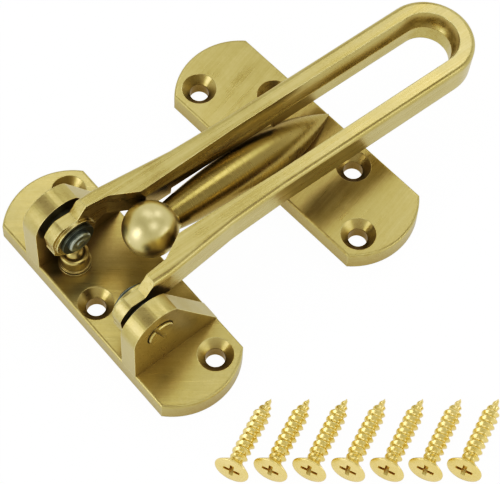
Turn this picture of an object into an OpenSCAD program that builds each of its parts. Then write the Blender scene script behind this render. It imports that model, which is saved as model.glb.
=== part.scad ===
// Swing bar door guard: a hinge plate with a looped swing bar, a strike plate with a ball post, seven screws.
// Origin at the centre of the hinge plate's back face, +X along the bar, +Z away from the mounting surface.
// Millimetres.

/* [Plates] */
// Width of both plates
plate_w = 28.6; // [26:0.2:32]
// Length of both plates
plate_l = 83.6; // [78:0.2:90]
// Thickness of both plates
plate_t = 6.2; // [5:0.1:8]
// Radius of the arched plate ends
plate_end_r = 19.4; // [16:0.2:24]
// Rounding of the front edges of the plates
plate_round = 0.7; // [0.3:0.1:1]
// Radius of the screw holes
hole_r = 2.8; // [2.2:0.1:2.8]
// Radius of the countersinks at the front face
sink_r = 5.05; // [4.2:0.05:5.5]

/* [Strike plate position] */
// Distance from the hinge plate to the strike plate
strike_x = 66.4; // [64:0.1:70]
// Sideways offset of the strike plate
strike_y = 3.95; // [3.6:0.05:4.3]
// Turn of the strike plate on the mounting surface
strike_yaw = 4.06; // [3.9:0.02:4.2]

/* [Ears and pivot] */
// Gap between the two ears
ear_gap = 37; // [36.8:0.1:38]
// Thickness of each ear
ear_t = 5.8; // [5:0.1:7]
// Height of the pivot axis over the mounting surface
pivot_z = 22.9; // [22.7:0.1:23.2]
// Radius of the round top of each ear
ear_r = 8.83; // [8:0.05:9.2]
// Radius of the pivot pins
pin_r = 2.6; // [2.2:0.05:2.8]

/* [Swing bar] */
// Tilt of the bar at rest, loop end low
bar_tilt = 5.3; // [5:0.1:5.6]
// Distance from the pivot to the centre of the loop end
bar_l = 116.6; // [112:0.2:122]
// Half width of the bar at the loop end
bar_hw = 13.65; // [13.2:0.05:14]
// Half width of the bar at the eyes
eye_hw = 16.6; // [16.2:0.05:17]
// Half width of the slot between the lower lips
slot_hw = 7.4; // [7.2:0.05:7.5]
// Radius of the ball track over the lips
track_r = 9.05; // [9:0.05:9.3]
// Rounding of the upper outer edge
bar_round = 1.5; // [0.5:0.1:2]

/* [Ball post] */
// Radius of the ball
ball_r = 7.85; // [7.5:0.05:7.9]
// Largest radius of the post
post_r = 6.85; // [6:0.05:6.9]
// Radius of the neck where the post leaves the ball
neck_r = 4; // [3.4:0.1:4.2]

/* [Wood screws] */
// Overall length of the screws
screw_l = 25.4; // [22:0.1:32]
// Radius of the screw heads
head_r = 5; // [4.6:0.05:5.2]
// Distance between neighbouring screws
screw_pitch = 10.32; // [9.8:0.02:12]

/* [Hidden] */
$fn = 64;
brass = [0.74, 0.66, 0.36];
steel = [0.6, 0.62, 0.58];
dark = [0.25, 0.26, 0.25];
// how far a cutter runs past the face it opens
over = 1;
sink_h = sink_r - hole_r;
end_y = plate_l / 2 - plate_end_r;
pivot_x = ear_r - plate_w / 2;
ear_in = ear_gap / 2;
ear_out = ear_in + ear_t;
// the ears' round tops end here and run straight down to the plate's front edge
ear_slope_a = 50;
// radial gap round a shank that turns or slides, and round one that is fixed
running = 0.06;
seat = 0.02;
hinge_holes = [[6.9, -32.6], [6.9, 32.6], [-8.84, 0]];
strike_holes = [[-7.2, -32.5], [-7.2, 32.5], [7.2, -16.2], [7.2, 16.2]];
// pivot pin: sunk round head outside, turned-over tail inside
pin_head_r = 4.05;
pin_sink_r = 4.3;
pin_sink_d = 1.2;
pin_proud = 0.8;
tail_r = 3.5;
tail_t = 1.25;
washer_r = 5.2;
washer_t = 0.85;
hub_r = 6.5;
hub_y = 12;
eye_y = 13;
washer_y = hub_y - 0.1 - washer_t;
spacer_r = 5.4;
spacer_t = ear_in - eye_hw - 0.1;
// detent under the left eye
detent_y = 13.7;
sleeve_r = 3.9;
flange_r = 4.7;
flange_t = 0.8;
ring_r = 4.5;
barrel_r = 4.1;
barrel_z = 12.6;
barrel_round = 0.8;
bore_r = 3.35;
collar_z = 9.4;
nose_r = 2.75;
nose_z = 15;
shoulder_r = 3.3;
shoulder_z = [7, 8.4];
plug_t = 1.2;
spring_r = 2.35;
wire_r = 0.35;
coils = 6;
// swing bar, in its own frame: pivot at the origin, x along the bar
bar_z0 = 1.3;
bar_z1 = 11.2;
bar_foot = 0.5;
waist = [33, 14.2];
waist_end = 52;
cam_r = 7.75;
trough_z = 6.6;
riser = [0.7, 3.5];
cam_flat = [[-6.6, -2.9], [-7.56, 1.7]];
key_a = [10.5, 12.3];
key_b = [19.7, slot_hw];
// the track is narrower by this much where it leaves the mouth, and widens until the legs run parallel
track_z = 11.6;
track_taper = 0.9;
// the lips' lower corners are cut back over this length, where the thick of the post stands between them
relief = [9.6, 3.9];
relief_x = [29, 66];
// below this outline the mouth's walls step back, out along their own normal
step_back = [[6.6, 0.2], [12.9, 5], [19, 5], [23, 0.2]];
step_out = 0.65 * [0.47, 0.88];
detent_cut_r = 3.6;
detent_cut_d = 10.2;
// ball post, in the strike plate's frame: ball centre, and the point where the post runs out on the plate
ball_x = -55.7;
ball_y = 0.3;
ball_z = 25.9;
post_x = 13.5;
post_drop = ball_z - plate_t;
post_run = post_x - ball_x;
// the ogive's point lies a little past the plate's face
post_l = norm([post_run, post_drop]) + 1.2;
post_slope = atan2(post_drop, post_run);
belly = 43.5;
neck_s = 5.5;
// turn of the post on the strike plate
post_yaw = 0.55;
spigot_x = 2.5;
spigot_r = 2.4;
spigot_l = 5.4;
// screws: the head's rim and the last full ridge of the thread both rest on the surface
screw_head = [-11.2, -61.1];
screw_turn = 24.5;
screw_row = -39;
head_h = 3.1;
rim_z = 0.35;
major_r = 2.6;
minor_r = 1.75;
cross_l = 5;
cross_w = 1.2;
cross_d = 1.5;
thread_p = 2.2;
thread_z = 3.9;
tip_l = 6;
thread_n = floor((screw_l - thread_z) / thread_p);
last_full = thread_z + (floor((screw_l - tip_l - thread_z) / thread_p - 0.5) + 0.5) * thread_p;
screw_tilt = atan2(head_r - major_r, last_full - rim_z);

// points on an arc from angle a0 to a1
function arc(c, r, a0, a1, n) = [for (i = [0:n]) let (a = a0 + (a1 - a0) * i / n) c + r * [cos(a), sin(a)]];

// cross-section of the swing bar: rounded at the top, small chamfer at the bottom
function bar_section(hw) = concat(
    [[-hw, bar_z0 + bar_foot], [-hw + bar_foot, bar_z0], [hw - bar_foot, bar_z0], [hw, bar_z0 + bar_foot]],
    arc([hw - bar_round, bar_z1 - bar_round], bar_round, 0, 90, 6),
    arc([bar_round - hw, bar_z1 - bar_round], bar_round, 90, 180, 6));

// right half of that section, for turning
function bar_half(hw) = concat(
    [[0, bar_z0], [hw - bar_foot, bar_z0], [hw, bar_z0 + bar_foot]],
    arc([hw - bar_round, bar_z1 - bar_round], bar_round, 0, 90, 6),
    [[0, bar_z1]]);

// post radius at distance s from the ball centre, an ogive made of two arcs that meet at the belly
function sag(r, c) = (r * r + c * c) / (2 * c);
function bow(s, len, drop) = sqrt(pow(sag(len, drop), 2) - s * s) - sag(len, drop);
function post_at(s) = post_r + (s < belly ? bow(belly - s, belly - neck_s, post_r - neck_r)
    : bow(s - belly, post_l - belly, post_r));

// region outside a rounded edge whose corner is at the origin, outward is +x
module edge_cutter(r) {
    polygon(concat(arc([-r, -r], r, 90, 0, 4), [[over, -r], [over, over], [-r, over]]));
}

// plate blank with arched ends and rounded front edges, the long edges rounded over the spans given
module plate_blank(spans) {
    difference() {
        linear_extrude(plate_t) intersection() {
            square([plate_w, plate_l + 2], center = true);
            union() {
                for (s = [-1, 1]) translate([0, s * end_y]) circle(r = plate_end_r, $fn = 128);
                square([plate_w + 1, 60], center = true);
            }
        }
        for (s = [0, 180]) rotate(s) {
            for (r = spans) translate([plate_w / 2, r[1], plate_t]) rotate([90, 0, 0])
                linear_extrude(r[1] - r[0]) edge_cutter(plate_round);
            translate([0, end_y, plate_t]) rotate(40) rotate_extrude(angle = 100, $fn = 128)
                translate([plate_end_r, 0]) edge_cutter(plate_round);
        }
    }
}

// countersunk screw hole through a plate
module screw_hole(p) {
    translate([p[0], p[1], -over]) cylinder(r = hole_r, h = plate_t + 2 * over);
    translate([p[0], p[1], plate_t - sink_h]) cylinder(r1 = hole_r, r2 = sink_r, h = sink_h);
    translate([p[0], p[1], plate_t]) cylinder(r = sink_r, h = over);
}

// one ear standing on the hinge plate, thickness along +Y from its inner face
module ear() {
    color(brass) difference() {
        translate([0, ear_out, 0]) rotate([90, 0, 0]) linear_extrude(ear_t) polygon(concat(
            arc([pivot_x, pivot_z], ear_r, ear_slope_a, 180, 24),
            [[-plate_w / 2, plate_t], [plate_w / 2, plate_t]]));
        translate([pivot_x, 0, pivot_z]) rotate([-90, 0, 0]) cylinder(r = pin_r + seat, h = 30);
        translate([pivot_x, ear_out - pin_sink_d, pivot_z]) rotate([-90, 0, 0])
            cylinder(r = pin_sink_r, h = pin_sink_d + over);
    }
}

module ear_left() { ear(); }

module ear_right() { mirror([0, 1, 0]) ear(); }

module hinge_plate() {
    color(brass) difference() {
        plate_blank([[-45, -ear_out], [-ear_in, ear_in], [ear_out, 45]]);
        for (p = hinge_holes) screw_hole(p);
        translate([pivot_x, detent_y, -over]) cylinder(r = sleeve_r + seat, h = plate_t + 2 * over);
    }
}

// pivot pin along +Y, left hand side
module pivot_pin() {
    head_y = ear_out - pin_sink_d;
    head_t = pin_sink_d + pin_proud;
    tail_y = washer_y - tail_t;
    color(steel) translate([pivot_x, 0, pivot_z]) difference() {
        rotate([-90, 0, 0]) rotate_extrude() polygon([
            [0, tail_y], [1, tail_y], [1.3, tail_y + 0.3], [2.2, tail_y], [tail_r - 0.4, tail_y + 0.1],
            [tail_r, tail_y + 0.5], [tail_r, washer_y], [pin_r, washer_y], [pin_r, head_y],
            [pin_head_r, head_y],
            [pin_head_r, head_y + head_t - 0.3], [pin_head_r - 0.3, head_y + head_t], [0, head_y + head_t]]);
        translate([0, head_y + head_t, 0]) rotate([0, 67, 0]) cube([10, 1.6, 1.2], center = true);
    }
}

module pivot_pin_left() { pivot_pin(); }

module pivot_pin_right() { mirror([0, 1, 0]) pivot_pin(); }

// flat ring round the pivot axis, from distance y outward
module pivot_ring(r, y, t) {
    translate([pivot_x, y, pivot_z]) rotate([-90, 0, 0]) difference() {
        cylinder(r = r, h = t);
        translate([0, 0, -over]) cylinder(r = pin_r + seat, h = t + 2 * over);
    }
}

module pin_washer_left() { color(dark) pivot_ring(washer_r, washer_y, washer_t); }

module pin_washer_right() { color(dark) mirror([0, 1, 0]) pivot_ring(washer_r, washer_y, washer_t); }

module spacer_left() { color(dark) pivot_ring(spacer_r, ear_in - spacer_t, spacer_t); }

module spacer_right() { color(dark) mirror([0, 1, 0]) pivot_ring(spacer_r, ear_in - spacer_t, spacer_t); }

module detent_sleeve() {
    ring_z = plate_t + flange_t;
    color(brass) translate([pivot_x, detent_y, 0]) rotate_extrude() polygon([
        [bore_r, 0], [sleeve_r, 0], [sleeve_r, plate_t], [flange_r, plate_t], [flange_r, plate_t + flange_t],
        [barrel_r, ring_z], [barrel_r, ring_z + 0.3], [ring_r, ring_z + 0.3], [ring_r, ring_z + 1],
        [barrel_r, ring_z + 1], [barrel_r, barrel_z - barrel_round], [barrel_r - 0.25, barrel_z - 0.25],
        [barrel_r - barrel_round, barrel_z],
        [nose_r + running, barrel_z], [nose_r + running, collar_z], [bore_r, collar_z]]);
}

// closed coils between the plug and the plunger
module detent_spring() {
    z0 = plug_t + wire_r;
    z1 = shoulder_z[0] - wire_r - running;
    color(steel) for (i = [0:coils - 1]) translate([pivot_x, detent_y, z0 + (z1 - z0) * i / (coils - 1)])
        rotate_extrude($fn = 48) translate([spring_r, 0]) circle(r = wire_r, $fn = 16);
}

module detent_plug() {
    color(steel) translate([pivot_x, detent_y, 0]) cylinder(r = bore_r - seat, h = plug_t);
}

module detent_plunger() {
    color(brass) translate([pivot_x, detent_y, 0]) rotate_extrude() polygon(concat(
        [[0, shoulder_z[0]], [shoulder_r, shoulder_z[0]], [shoulder_r, shoulder_z[1]],
            [nose_r, shoulder_z[1]]],
        arc([0, nose_z - nose_r], nose_r, 0, 90, 12)));
}

// one cam eye in the bar's frame, between its inner and outer side faces
module eye() {
    a0 = 180 - asin(trough_z / cam_r);
    a1 = 180 - asin(cam_flat[1][1] / cam_r);
    a2 = 180 + acos(-cam_flat[0][0] / cam_r);
    a3 = 360 + asin(bar_z0 / cam_r);
    translate([0, eye_hw, 0]) rotate([90, 0, 0]) linear_extrude(eye_hw - eye_y) polygon(concat(
        [[riser[0] + 2, trough_z]], arc([0, 0], cam_r, a0, a1, 8), [cam_flat[0]],
        arc([0, 0], cam_r, a2, a3, 24)));
}

// straight length of bar from x0 to x1
module bar_run(x0, x1, hw) {
    translate([x0, 0, 0]) rotate([90, 0, 90]) linear_extrude(x1 - x0) polygon(bar_section(hw));
}

module bar_outside() {
    bar_run(0, 9, eye_hw);
    hull() {
        bar_run(9, 9.01, eye_hw);
        bar_run(waist[0] - 0.01, waist[0], waist[1]);
    }
    hull() {
        bar_run(waist[0], waist[0] + 0.01, waist[1]);
        bar_run(waist_end - 0.01, waist_end, bar_hw);
    }
    bar_run(waist_end, bar_l, bar_hw);
    translate([bar_l, 0, 0]) rotate(-90) rotate_extrude(angle = 180, $fn = 128) polygon(bar_half(bar_hw));
    eye();
    mirror([0, 1, 0]) eye();
}

// slot between the lips, ball track over them and the wide mouth that takes the ball
module bar_inside() {
    translate([15, -slot_hw, bar_z0 - over]) cube([bar_l - 15, 2 * slot_hw, bar_z1 - bar_z0]);
    translate([bar_l, 0, bar_z0 - over]) cylinder(r = slot_hw, h = bar_z1 - bar_z0, $fn = 96);
    for (s = [0, 1]) mirror([0, s, 0]) translate([relief_x[0], 0, 0]) rotate([90, 0, 90])
        linear_extrude(relief_x[1] - relief_x[0]) polygon([[0, bar_z0 - over], [relief[0], bar_z0 - over],
            [relief[0], bar_z0], [slot_hw, relief[1]], [0, relief[1]]]);
    translate([14, 0, track_z]) rotate([0, 90, 0]) rotate_extrude($fn = 96) union() {
        polygon([[0, 0], [track_r - track_taper, 0], [track_r - track_taper, key_b[0] - 14],
            [track_r, waist_end - 14], [track_r, bar_l - 14], [0, bar_l - 14]]);
        translate([0, bar_l - 14]) intersection() {
            circle(r = track_r);
            square(track_r);
        }
    }
    mouth = [[-20, eye_y], [3, eye_y], key_a, key_b];
    mouth_hole(mouth);
    intersection() {
        translate([0, 20, 0]) rotate([90, 0, 0]) linear_extrude(40) polygon(step_back);
        mouth_hole([for (p = mouth) p + step_out]);
    }
}

// opening with the given outline on its left side, the same on its right
module mouth_hole(side) {
    translate([0, 0, bar_z0 - over]) linear_extrude(20) polygon(
        concat(side, [for (i = [3:-1:0]) [side[i][0], -side[i][1]]]));
}

module swing_bar() {
    color(brass) translate([pivot_x, 0, pivot_z]) rotate([0, bar_tilt, 0]) difference() {
        union() {
            difference() {
                bar_outside();
                bar_inside();
            }
            for (s = [-1, 1]) translate([0, s * hub_y, 0]) rotate([-90 * s, 0, 0])
                cylinder(r = hub_r, h = eye_y - hub_y + 0.5);
        }
        // trough behind the riser, where the detent rests when the bar is thrown right back
        translate([0, 20, 0]) rotate([90, 0, 0]) linear_extrude(40) polygon([
            [-9, trough_z], [riser[0], trough_z], [riser[1], bar_z1], [riser[1], bar_z1 + over],
            [-9, bar_z1 + over]]);
        // groove over the detent when the bar is closed
        rotate([0, -bar_tilt, 0]) translate([0, 0, -detent_cut_d]) rotate([-90, 0, 0])
            cylinder(r = detent_cut_r, h = 20);
        translate([0, -20, 0]) rotate([-90, 0, 0]) cylinder(r = pin_r + running, h = 40);
    }
}

// puts a child from the strike plate's own frame into place
module on_strike() {
    translate([strike_x, strike_y, 0]) rotate(strike_yaw) children();
}

module strike_plate() {
    color(brass) on_strike() difference() {
        plate_blank([[-45, 45]]);
        for (p = strike_holes) screw_hole(p);
        translate([spigot_x, 0, -over]) cylinder(r = spigot_r + seat, h = plate_t + 2 * over);
    }
}

// ball on a sloping post that runs out on the plate, riveted through it
module ball_post() {
    n = 30;
    side = [for (i = [0:n]) let (s = neck_s + (post_l - neck_s) * i / n) [max(post_at(s), 0), s]];
    color(brass) on_strike() {
        difference() {
            translate([ball_x, ball_y, ball_z]) rotate([0, 90 + post_slope, post_yaw])
                rotate_extrude($fn = 96) union() {
                    intersection() {
                        circle(r = ball_r);
                        translate([0, -ball_r - over]) square(2 * (ball_r + over));
                    }
                    polygon(concat([[0, neck_s]], side));
                }
            translate([-30, -20, plate_t - 20]) cube([60, 40, 20]);
        }
        translate([spigot_x, 0, plate_t - spigot_l]) cylinder(r = spigot_r, h = spigot_l + 1);
    }
}

// countersunk wood screw with a cross recess, head face at the origin, tip along +Z
// the thread's ridges shrink towards the point
module wood_screw() {
    ridge = [for (i = [0:thread_n - 1]) for (k = [0.15, 0.5, 0.85]) let (z = thread_z + (i + k) * thread_p)
        [min(1, (screw_l - z) / tip_l) * (k == 0.5 ? major_r : minor_r), z]];
    color(brass) difference() {
        rotate_extrude($fn = 48) polygon(concat([[0, 0], [head_r - 0.2, 0], [head_r, 0.2], [head_r, rim_z],
            [minor_r + 0.2, head_h], [minor_r, thread_z]], ridge, [[0, screw_l]]));
        for (a = [0, 90]) rotate(a) translate([-cross_l / 2, -cross_w / 2, -over])
            cube([cross_l, cross_w, cross_d + over]);
        cylinder(r1 = 1.5, r2 = 0.5, h = 2);
    }
}

// screw number i of the row lying beside the hinge plate
module laid_screw(i) {
    at = screw_head + (i - 1) * screw_pitch * [cos(screw_row), sin(screw_row)];
    translate([at[0], at[1], head_r * cos(screw_tilt) + rim_z * sin(screw_tilt)])
        rotate([0, 90 + screw_tilt, screw_turn]) wood_screw();
}

module wood_screw_1() { laid_screw(1); }

module wood_screw_2() { laid_screw(2); }

module wood_screw_3() { laid_screw(3); }

module wood_screw_4() { laid_screw(4); }

module wood_screw_5() { laid_screw(5); }

module wood_screw_6() { laid_screw(6); }

module wood_screw_7() { laid_screw(7); }

hinge_plate();
ear_left();
ear_right();
pivot_pin_left();
pivot_pin_right();
pin_washer_left();
pin_washer_right();
spacer_left();
spacer_right();
detent_sleeve();
detent_spring();
detent_plug();
detent_plunger();
swing_bar();
strike_plate();
ball_post();
wood_screw_1();
wood_screw_2();
wood_screw_3();
wood_screw_4();
wood_screw_5();
wood_screw_6();
wood_screw_7();
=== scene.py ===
import math

import bmesh
import bpy
import numpy as np
from mathutils import Matrix, Vector


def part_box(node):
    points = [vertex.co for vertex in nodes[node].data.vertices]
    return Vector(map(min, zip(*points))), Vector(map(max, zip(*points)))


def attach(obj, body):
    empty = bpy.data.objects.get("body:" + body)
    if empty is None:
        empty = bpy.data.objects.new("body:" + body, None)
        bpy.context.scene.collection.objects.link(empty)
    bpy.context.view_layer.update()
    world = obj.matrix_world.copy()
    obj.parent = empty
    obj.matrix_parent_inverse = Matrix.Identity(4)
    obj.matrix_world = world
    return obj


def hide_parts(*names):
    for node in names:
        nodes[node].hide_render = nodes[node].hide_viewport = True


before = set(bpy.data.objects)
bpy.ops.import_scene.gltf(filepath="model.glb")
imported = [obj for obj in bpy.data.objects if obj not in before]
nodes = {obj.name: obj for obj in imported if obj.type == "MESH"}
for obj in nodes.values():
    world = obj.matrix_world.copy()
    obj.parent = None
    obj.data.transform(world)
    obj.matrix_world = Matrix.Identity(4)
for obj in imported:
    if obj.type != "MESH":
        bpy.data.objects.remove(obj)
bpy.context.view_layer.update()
scene = bpy.context.scene

MM = 0.001
# where the pivot pins' brass heads begin, out along the pins
PIN_HEAD_Y = 21 * MM
BALL_R = 7.85 * MM
BAR_TILT = math.radians(5.3)
STRIKE_YAW = math.radians(4.06)
POST_SLOPE = math.radians(15.9)

# wood screws, in millimetres; z runs from the head's face to the point
SCREW_COUNT = 7
SCREW_LENGTH, HEAD_R, CREST_R, ROOT_R, PITCH = 25.4, 5.0, 2.6, 1.75, 2.2
RIM_Z, THREAD_START, LAST_FULL_TURN, TIP = 0.35, 3.0, 18.2, 6.0
THREAD_RUN_IN = 1.6
FLANK_SHARE = 0.36
RIDGE_POWER, TIP_POWER = 0.85, 0.8
# radius and depth of the head's outline
HEAD_OUTLINE = [(4.72, 0.0), (4.9, 0.06), (HEAD_R, 0.2), (HEAD_R, RIM_Z),
                (4.75, 0.6), (3.3, 1.85), (2.1, 2.85)]
CROSS_L, CROSS_W, CROSS_D = 5.0, 1.2, 1.5
CROSS_FLOOR = 0.62
AROUND = 60
ROWS_PER_TURN = 14
SHARP_EDGE = math.radians(40)
SCREW_TURN = math.radians(24.5)
# each screw lies on its head's rim and on the last full turn of its thread
SCREW_TILT = math.atan2(HEAD_R - CREST_R, LAST_FULL_TURN - RIM_Z)

# share of a noise texture's range that is put to use
NOISE_LOW, NOISE_HIGH = 0.3, 0.7
RAY_SAMPLES = 6
# agreement of bevel and surface normals over which the painted edge highlight fades in
EDGE_SHEEN_FROM, EDGE_SHEEN_TO = 0.995, 0.86
# ambient-occlusion range over which the painted shade fades out, and the olive tint of that painted shade
SHADE_AO_FROM, SHADE_AO_TO = 0.15, 0.75
PAINTED_SHADE_TINT = (0.40, 0.28, 0.05, 1.0)
WHITE = (1, 1, 1, 1)
GRAIN_DEPTH = 0.02 * MM
WIDE_STREAK = 0.28
SCRATCH_SCALE = (60, 5200, 5200)

FLOOR_Z = -0.2 * MM
FLOOR_SIZE = 8
FLOOR_GLOW = 1.02
# how much of the floor is glow rather than lit paper: to reflections, and what the camera sees on top of that
GLOW_SHARE, CAMERA_SHARE = 0.7, 0.25
HORIZON_LIGHT, ZENITH_LIGHT = 0.90, 0.50


# ---------------------------------------------------------------- materials
class Tree:
    """A material's node tree with short helpers."""

    def __init__(self, name):
        self.mat = bpy.data.materials.new(name)
        self.mat.use_nodes = True
        self.nodes = self.mat.node_tree.nodes
        self.links = self.mat.node_tree.links
        self.bsdf = self.nodes["Principled BSDF"]

    def add(self, kind, **inputs):
        node = self.nodes.new(kind)
        for key, value in inputs.items():
            self.put(node.inputs[key.replace("_", " ")], value)
        return node

    def put(self, socket, value):
        if hasattr(value, "is_output"):
            self.links.new(value, socket)
        else:
            socket.default_value = value

    def math(self, op, a, b=0.0, c=0.0, clamp=False):
        node = self.nodes.new("ShaderNodeMath")
        node.operation = op
        node.use_clamp = clamp
        for socket, value in zip(node.inputs, (a, b, c)):
            self.put(socket, value)
        return node.outputs[0]

    def span(self, value, low, high, to_low, to_high):
        node = self.add("ShaderNodeMapRange")
        keys = ("Value", "From Min", "From Max", "To Min", "To Max")
        for key, v in zip(keys, (value, low, high, to_low, to_high)):
            self.put(node.inputs[key], v)
        return node.outputs["Result"]

    def swing(self, noise):
        """A noise value spread over -1 to 1."""
        return self.span(noise, NOISE_LOW, NOISE_HIGH, -1.0, 1.0)

    def mix(self, factor, a, b, blend="MIX"):
        node = self.nodes.new("ShaderNodeMix")
        node.data_type = "RGBA"
        node.blend_type = blend
        self.put(node.inputs["Factor"], factor)
        self.put(node.inputs["A"], a)
        self.put(node.inputs["B"], b)
        return node.outputs["Result"]

    def place(self, vector, turn=(0, 0, 0), scale=(1, 1, 1)):
        node = self.nodes.new("ShaderNodeMapping")
        self.put(node.inputs["Vector"], vector)
        node.inputs["Rotation"].default_value = turn
        node.inputs["Scale"].default_value = scale
        return node.outputs["Vector"]

    def noise(self, vector, scale=1.0, detail=3.0, rough=0.6, warp=0.0):
        node = self.nodes.new("ShaderNodeTexNoise")
        self.put(node.inputs["Vector"], vector)
        node.inputs["Scale"].default_value = scale
        node.inputs["Detail"].default_value = detail
        node.inputs["Roughness"].default_value = rough
        node.inputs["Distortion"].default_value = warp
        return node.outputs["Fac"]


def rgb(r, g, b):
    """A displayed colour as linear values."""
    def lin(v):
        v /= 255
        return v / 12.92 if v <= 0.04045 else ((v + 0.055) / 1.055) ** 2.4
    return (lin(r), lin(g), lin(b), 1.0)


def metal(name, light, dark, edge, rough, turn=(0, 0, 0), grain=(40, 2600, 2600), streak=0.5, bevel=0.35,
          bump=0.12, painted_shade=0.55, reach=11, blotch=0.35, scratches=0.25):
    """Brushed metal: streaks along the grain, blotches, painted highlights on rounded edges, painted shade in
    hollows and under nearby parts, and scratches.

    turn lays the grain's x axis along the strokes, and bevel and reach are in millimetres.
    """
    t = Tree(name)
    coords = t.add("ShaderNodeTexCoord").outputs["Object"]
    turned = t.place(coords, turn)
    fine = t.noise(t.place(turned, scale=grain), detail=4.0, rough=0.65)
    wide = t.noise(t.place(turned, scale=tuple(g * WIDE_STREAK for g in grain)), detail=3.0, rough=0.6)
    cloud = t.noise(coords, scale=70.0, detail=4.0, rough=0.55, warp=0.4)
    fleck = t.noise(coords, scale=900.0, detail=3.0, rough=0.7)
    lines = t.noise(t.place(turned, scale=SCRATCH_SCALE), detail=1.0, rough=0.4)
    scratch = t.span(lines, 0.66, 0.76, 0.0, 1.0)

    rounded = t.add("ShaderNodeBevel", Radius=bevel * MM)
    rounded.samples = RAY_SAMPLES
    geometry = t.add("ShaderNodeNewGeometry")
    facing = t.nodes.new("ShaderNodeVectorMath")
    facing.operation = "DOT_PRODUCT"
    t.put(facing.inputs[0], rounded.outputs["Normal"])
    t.put(facing.inputs[1], geometry.outputs["Normal"])
    # painted highlight: rounded edges, found where the bevel normal turns from the surface normal, are
    # lightened towards the edge colour and made a little glossier
    edge_sheen = t.span(facing.outputs["Value"], EDGE_SHEEN_FROM, EDGE_SHEEN_TO, 0.0, 1.0)
    edge_sheen = t.math("MULTIPLY", edge_sheen, t.span(cloud, 0.35, 0.65, 0.55, 1.0), clamp=True)

    shade = t.math("MULTIPLY_ADD", t.swing(wide), streak * 0.5, 0.5)
    shade = t.math("MULTIPLY_ADD", t.swing(fine), streak * 0.4, shade)
    shade = t.math("MULTIPLY_ADD", t.swing(cloud), blotch * 0.5, shade)
    shade = t.math("MULTIPLY_ADD", t.swing(fleck), 0.08, shade, clamp=True)
    colour = t.mix(shade, dark, light)
    colour = t.mix(edge_sheen, colour, edge)
    # painted shade: ambient occlusion darkens and tints the colour in hollows and under nearby parts, such as
    # the plates beneath the bar
    shade_ao = t.add("ShaderNodeAmbientOcclusion", Distance=reach * MM)
    shade_ao.samples = RAY_SAMPLES
    shade_factor = t.span(shade_ao.outputs["AO"], SHADE_AO_FROM, SHADE_AO_TO, 1.0 - painted_shade, 1.0)
    shadow = t.mix(shade_factor, PAINTED_SHADE_TINT, WHITE)
    colour = t.mix(1.0, colour, shadow, "MULTIPLY")
    t.put(t.bsdf.inputs["Base Color"], colour)
    t.bsdf.inputs["Metallic"].default_value = 1.0

    dull = t.math("MULTIPLY_ADD", t.swing(wide), 0.05, rough)
    dull = t.math("MULTIPLY_ADD", t.swing(cloud), 0.05, dull)
    dull = t.math("MULTIPLY_ADD", scratch, -0.08, dull)
    dull = t.math("MULTIPLY_ADD", edge_sheen, -0.08, dull, clamp=True)
    t.put(t.bsdf.inputs["Roughness"], dull)

    relief = t.math("MULTIPLY_ADD", wide, 0.6, fine)
    relief = t.math("MULTIPLY_ADD", scratch, -scratches, relief)
    relief = t.math("MULTIPLY_ADD", fleck, 0.25, relief)
    bumped = t.add("ShaderNodeBump", Strength=bump, Distance=GRAIN_DEPTH, Height=relief)
    t.put(bumped.inputs["Normal"], rounded.outputs["Normal"])
    t.put(t.bsdf.inputs["Normal"], bumped.outputs["Normal"])
    return t.mat


# each metal's third colour, such as BRIGHT or the *_EDGE colours, is the painted highlight on its rounded
# edges
GOLD = rgb(212, 200, 150)
OLIVE = rgb(180, 163, 106)
BRIGHT = rgb(240, 233, 190)
POST_LIGHT = rgb(196, 182, 126)
POST_DARK = rgb(164, 146, 88)
BALL_LIGHT = rgb(228, 217, 168)
SCREW_LIGHT = rgb(250, 232, 172)
SCREW_DARK = rgb(228, 204, 130)
SCREW_EDGE = rgb(255, 248, 212)
STEEL = rgb(196, 200, 186)
STEEL_DARK = rgb(150, 155, 142)
STEEL_EDGE = rgb(240, 242, 230)
GUN = rgb(118, 124, 116)
GUN_DARK = rgb(84, 90, 82)
GUN_EDGE = rgb(170, 174, 164)

PLATE_TURN = (0, 0, math.radians(40))
STRIKE_TURN = (0, 0, math.radians(-14))
BAR_TURN = (0, -BAR_TILT, 0)
POST_TURN = (0, -POST_SLOPE, -STRIKE_YAW)
PLATE_GRAIN = (90, 2600, 2600)
BAR_GRAIN = (22, 2400, 2400)
# rings round the post and the ball
POST_GRAIN = (2600, 60, 60)
BALL_GRAIN = (1600, 90, 90)

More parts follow.
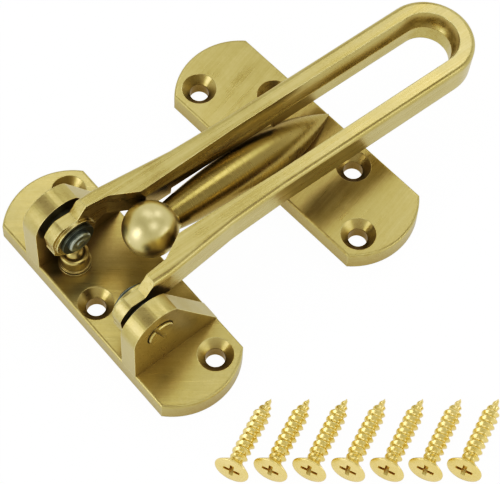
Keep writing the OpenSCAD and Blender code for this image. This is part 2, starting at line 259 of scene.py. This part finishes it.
# each metal sets the strength and reach of its painted shade; the plates reach far enough to darken under the
# bar
looks = {
    "plate": metal("brass_plate", GOLD, OLIVE, BRIGHT, 0.34, turn=PLATE_TURN, grain=PLATE_GRAIN,
                   streak=0.22, blotch=0.3, painted_shade=0.85, reach=20),
    "strike": metal("brass_strike", GOLD, OLIVE, BRIGHT, 0.34, turn=STRIKE_TURN, grain=PLATE_GRAIN,
                    streak=0.25, blotch=0.3, painted_shade=0.85, reach=20),
    "bar": metal("brass_bar", GOLD, OLIVE, BRIGHT, 0.30, turn=BAR_TURN, grain=BAR_GRAIN,
                 streak=0.38, painted_shade=0.5, reach=9),
    "post": metal("brass_post", POST_LIGHT, POST_DARK, GOLD, 0.28, turn=POST_TURN, grain=POST_GRAIN,
                  streak=0.08, painted_shade=0.6, reach=10, bump=0.025),
    "ball": metal("brass_ball", BALL_LIGHT, GOLD, BRIGHT, 0.36, turn=POST_TURN, grain=BALL_GRAIN,
                  streak=0.1, painted_shade=0.2, reach=4, bump=0.03),
    "screw": metal("brass_screw", SCREW_LIGHT, SCREW_DARK, SCREW_EDGE, 0.3,
                   streak=0.2, bevel=0.12, painted_shade=0.55, reach=3),
    "gun": metal("gunmetal_washer", GUN, GUN_DARK, GUN_EDGE, 0.34, streak=0.3, bevel=0.15),
    "steel": metal("steel_pin", STEEL, STEEL_DARK, STEEL_EDGE, 0.42, streak=0.3, bevel=0.2, painted_shade=0.0),
    "head": metal("brass_pin_head", GOLD, OLIVE, BRIGHT, 0.3, streak=0.2, bevel=0.15, painted_shade=0.3),
}

for name, obj in nodes.items():
    if name.startswith("wood_screw"):
        key = "screw"
    elif name.startswith(("pin_washer", "spacer")):
        key = "gun"
    elif name == "detent_spring" or name.startswith("pivot_pin"):
        key = "steel"
    else:
        key = {"swing_bar": "bar", "ball_post": "post", "strike_plate": "strike"}.get(name, "plate")
    obj.data.materials.clear()
    obj.data.materials.append(looks[key])
    if name.startswith("pivot_pin"):
        obj.data.materials.append(looks["head"])
        for face in obj.data.polygons:
            face.material_index = int(abs(face.center.y) > PIN_HEAD_Y)
    if name == "ball_post":
        obj.data.materials.append(looks["ball"])
        low_corner, high_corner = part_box(name)
        ball_x, ball_z = low_corner.x + BALL_R, high_corner.z - BALL_R
        for face in obj.data.polygons:
            from_ball = math.hypot(face.center.x - ball_x, face.center.z - ball_z)
            face.material_index = int(from_ball < BALL_R)

# ---------------------------------------------------------------- wood screws
def thread_radius(z, angle):
    """Radius of the threaded shank: a sharp helical ridge on a core, both drawn down to the point."""
    draw = min(1.0, max(0.0, (SCREW_LENGTH - z) / TIP))
    phase = (z / PITCH - angle / math.tau) % 1.0
    flank = abs(phase - 0.5) / FLANK_SHARE
    ridge = max(0.0, 1.0 - flank) ** RIDGE_POWER
    grow = min(1.0, max(0.0, (z - THREAD_START) / THREAD_RUN_IN))
    return draw ** TIP_POWER * (ROOT_R + (CREST_R - ROOT_R) * ridge * grow)


def skin(bm, rings):
    """Faces between neighbouring rings of points."""
    for a, b in zip(rings, rings[1:]):
        for k in range(len(a)):
            n = (k + 1) % len(a)
            bm.faces.new((a[k], a[n], b[n], b[k]))


def mesh_from(bm, name):
    """The finished mesh, with its faces turned outwards."""
    bmesh.ops.recalc_face_normals(bm, faces=bm.faces)
    mesh = bpy.data.meshes.new(name)
    bm.to_mesh(mesh)
    bm.free()
    return mesh


def screw_mesh():
    """Head and threaded shank as one closed skin."""
    angles = [math.tau * k / AROUND for k in range(AROUND)]
    rows = [[(r * MM, z * MM)] * AROUND for r, z in HEAD_OUTLINE]
    steps = round((SCREW_LENGTH - THREAD_START) / PITCH * ROWS_PER_TURN)
    for i in range(steps):
        z = THREAD_START + (SCREW_LENGTH - THREAD_START) * i / steps
        rows.append([(thread_radius(z, angle) * MM, z * MM) for angle in angles])
    bm = bmesh.new()
    rings = []
    for row in rows:
        spots = [(r * math.cos(angle), r * math.sin(angle), z) for angle, (r, z) in zip(angles, row)]
        rings.append([bm.verts.new(spot) for spot in spots])
    bm.faces.new(list(reversed(rings[0])))
    skin(bm, rings)
    point = bm.verts.new((0, 0, SCREW_LENGTH * MM))
    for k in range(AROUND):
        bm.faces.new((rings[-1][k], rings[-1][(k + 1) % AROUND], point))
    return mesh_from(bm, "screw")


def cross_cutter():
    """Cross-shaped recess with tapering wings."""
    bm = bmesh.new()
    half, wing = CROSS_L / 2, CROSS_W / 2
    corners = [(half, wing), (wing, wing), (wing, half), (-wing, half), (-wing, wing), (-half, wing),
               (-half, -wing), (-wing, -wing), (-wing, -half), (wing, -half), (wing, -wing), (half, -wing)]
    # depth below the head's face and the cross's width there, starting clear above the face
    levels = [(-0.5, 1.06), (0.0, 1.0), (CROSS_D, CROSS_FLOOR)]
    rings = [[bm.verts.new((x * f * MM, y * f * MM, z * MM)) for x, y in corners] for z, f in levels]
    bm.faces.new(list(reversed(rings[0])))
    bm.faces.new(rings[-1])
    skin(bm, rings)
    return mesh_from(bm, "recess")


def cut_screw():
    """The screw's mesh with its recess cut."""
    blank = bpy.data.objects.new("blank", screw_mesh())
    tool = bpy.data.objects.new("tool", cross_cutter())
    for o in (blank, tool):
        scene.collection.objects.link(o)
    cut = blank.modifiers.new("cut", "BOOLEAN")
    cut.object = tool
    cut.operation = "DIFFERENCE"
    cut.solver = "EXACT"
    depsgraph = bpy.context.evaluated_depsgraph_get()
    mesh = bpy.data.meshes.new_from_object(blank.evaluated_get(depsgraph))
    bpy.data.objects.remove(blank)
    bpy.data.objects.remove(tool)
    mesh.shade_smooth()
    mesh.set_sharp_from_angle(angle=SHARP_EDGE)
    return mesh


screw = cut_screw()
screw.materials.clear()
screw.materials.append(looks["screw"])
lay = Matrix.Rotation(SCREW_TURN, 4, "Z") @ Matrix.Rotation(math.pi / 2 + SCREW_TILT, 4, "Y")
for i in range(1, SCREW_COUNT + 1):
    name = f"wood_screw_{i}"
    low_corner, high_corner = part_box(name)
    piece = bpy.data.objects.new(f"threaded_screw_{i}", screw.copy())
    scene.collection.objects.link(piece)
    piece.data.transform(lay)
    # a hair smaller where it would stand out of the CAD screw's box
    spots = np.array([v.co for v in piece.data.vertices])
    room = np.array(high_corner - low_corner)
    fit = min(1.0, float((room / np.ptp(spots, axis=0)).min()))
    piece.data.transform(Matrix.Scale(fit, 4))
    spots = np.array([v.co for v in piece.data.vertices])
    middle = (low_corner + high_corner) / 2 - Vector((spots.min(0) + spots.max(0)) / 2)
    piece.data.transform(Matrix.Translation(middle))
    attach(piece, "mounting")
    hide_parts(name)

# ---------------------------------------------------------------- floor and light
bpy.ops.mesh.primitive_plane_add(size=FLOOR_SIZE, location=(0, 0, FLOOR_Z))
floor = bpy.context.object
floor.name = "floor"
paper = bpy.data.materials.new("paper")
paper.use_nodes = True
tree = paper.node_tree
sheet = tree.nodes["Principled BSDF"]
sheet.inputs["Base Color"].default_value = (0.8, 0.8, 0.8, 1)
sheet.inputs["Roughness"].default_value = 0.9
glow = tree.nodes.new("ShaderNodeEmission")
glow.inputs["Strength"].default_value = FLOOR_GLOW
path = tree.nodes.new("ShaderNodeLightPath")
share = tree.nodes.new("ShaderNodeMath")
share.operation = "MULTIPLY_ADD"
share.inputs[1].default_value = CAMERA_SHARE
share.inputs[2].default_value = GLOW_SHARE
blend = tree.nodes.new("ShaderNodeMixShader")
tree.links.new(path.outputs["Is Camera Ray"], share.inputs[0])
tree.links.new(share.outputs[0], blend.inputs["Fac"])
tree.links.new(sheet.outputs[0], blend.inputs[1])
tree.links.new(glow.outputs[0], blend.inputs[2])
tree.links.new(blend.outputs[0], tree.nodes["Material Output"].inputs["Surface"])
floor.data.materials.append(paper)


def softbox(name, place, aim, size, radiance):
    """A rectangular lamp of that brightness as the metal sees it."""
    data = bpy.data.lights.new(name, "AREA")
    data.shape = "RECTANGLE"
    data.size, data.size_y = size
    data.energy = radiance * size[0] * size[1] * math.pi
    lamp = bpy.data.objects.new(name, data)
    scene.collection.objects.link(lamp)
    lamp.location = place
    lamp.rotation_mode = "QUATERNION"
    lamp.rotation_quaternion = (Vector(aim) - Vector(place)).to_track_quat("-Z", "Y")
    return lamp


softbox("key", (0.42, 0.12, 0.45), (0.09, 0, 0.01), (0.20, 0.20), 1.6)
softbox("back", (0.14, 0.40, 0.50), (0.02, 0.03, 0.01), (0.24, 0.16), 1.5)
softbox("plates", (0.19, 0.23, 0.64), (0.02, 0, 0.01), (0.20, 0.20), 1.25)
softbox("top", (0.02, -0.24, 0.65), (0.03, 0, 0.01), (0.30, 0.25), 1.5)
softbox("left", (-0.70, 0.10, 0.28), (0.02, 0, 0.01), (0.3, 0.5), 2.0)
softbox("front", (0.35, -0.70, 0.30), (0.04, 0, 0.01), (0.6, 0.2), 1.4)

# bright studio walls under a darker ceiling
world = bpy.data.worlds.new("studio")
scene.world = world
world.use_nodes = True
wt = world.node_tree
direction = wt.nodes.new("ShaderNodeTexCoord")
parts = wt.nodes.new("ShaderNodeSeparateXYZ")
rise = wt.nodes.new("ShaderNodeMapRange")
rise.interpolation_type = "SMOOTHSTEP"
rise.inputs["From Min"].default_value = -0.05
rise.inputs["From Max"].default_value = 0.95
rise.inputs["To Min"].default_value = HORIZON_LIGHT
rise.inputs["To Max"].default_value = ZENITH_LIGHT
wt.links.new(direction.outputs["Generated"], parts.inputs[0])
wt.links.new(parts.outputs["Z"], rise.inputs["Value"])
wt.links.new(rise.outputs["Result"], wt.nodes["Background"].inputs["Strength"])
wt.nodes["Background"].inputs["Color"].default_value = WHITE

# ---------------------------------------------------------------- camera
azimuth, elevation, roll = math.radians(-42.12), math.radians(62.05), math.radians(2.86)
distance = 0.64457
target = Vector((0.03603, -0.00752, 0))
level = math.cos(elevation)
back = Vector((math.sin(azimuth) * level, -math.cos(azimuth) * level, math.sin(elevation)))
right = Vector((math.cos(azimuth), math.sin(azimuth), 0))
up = back.cross(right)
side = math.cos(roll) * right + math.sin(roll) * up
above = back.cross(side)
lens = bpy.data.cameras.new("camera")
camera = bpy.data.objects.new("camera", lens)
scene.collection.objects.link(camera)
facing_way = Matrix((side, above, back)).transposed().to_4x4()
camera.matrix_world = Matrix.Translation(target + back * distance) @ facing_way
lens.sensor_width = 36
lens.lens = 164.6
lens.shift_x = 0.0225
lens.shift_y = 0.0
lens.clip_start, lens.clip_end = 0.01, 10
scene.camera = camera

# a plain transform, with the dark tones drawn down a little
scene.view_settings.view_transform = "Standard"
scene.view_settings.look = "None"
scene.view_settings.use_curve_mapping = True
tone = scene.view_settings.curve_mapping.curves[3]
tone.points.new(0.10, 0.045)
tone.points.new(0.45, 0.44)
scene.view_settings.curve_mapping.update()
